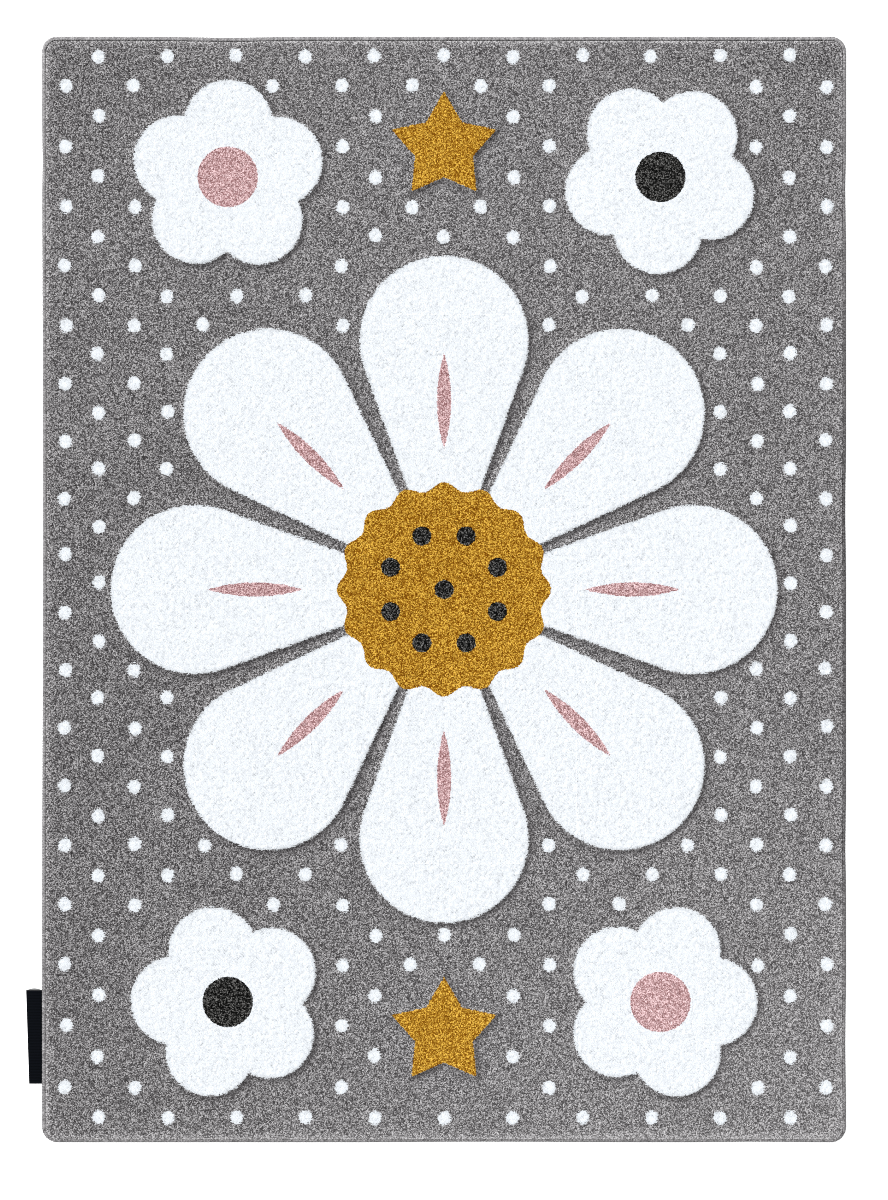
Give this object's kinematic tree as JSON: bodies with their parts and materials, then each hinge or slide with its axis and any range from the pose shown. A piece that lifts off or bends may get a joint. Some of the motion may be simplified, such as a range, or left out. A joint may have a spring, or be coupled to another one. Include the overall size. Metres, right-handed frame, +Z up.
{
  "type": "kids rug",
  "caption": "Flat rectangular cut-pile rug with rounded corners, an overlocked yarn edge all round and a folded ribbon label at one side.",
  "frame": {"origin": "centre of the rug's underside, on the floor", "axes": "+Z up out of the pile, +Y along the rug's length towards its top edge, +X across its width, with the label on the -X side"},
  "size_m": [1.632, 2.2, 0.0115],
  "materials": {
    "pile": "heathered grey cut pile with white, mustard, pink and charcoal motifs",
    "edge_yarn": "overlocked grey melange yarn",
    "label_ribbon": "black satin ribbon, bare"
  },
  "bodies": {
    "root": {"rug": "pile", "edge_binding": "edge_yarn", "label": "label_ribbon"}
  },
  "joints": []
}
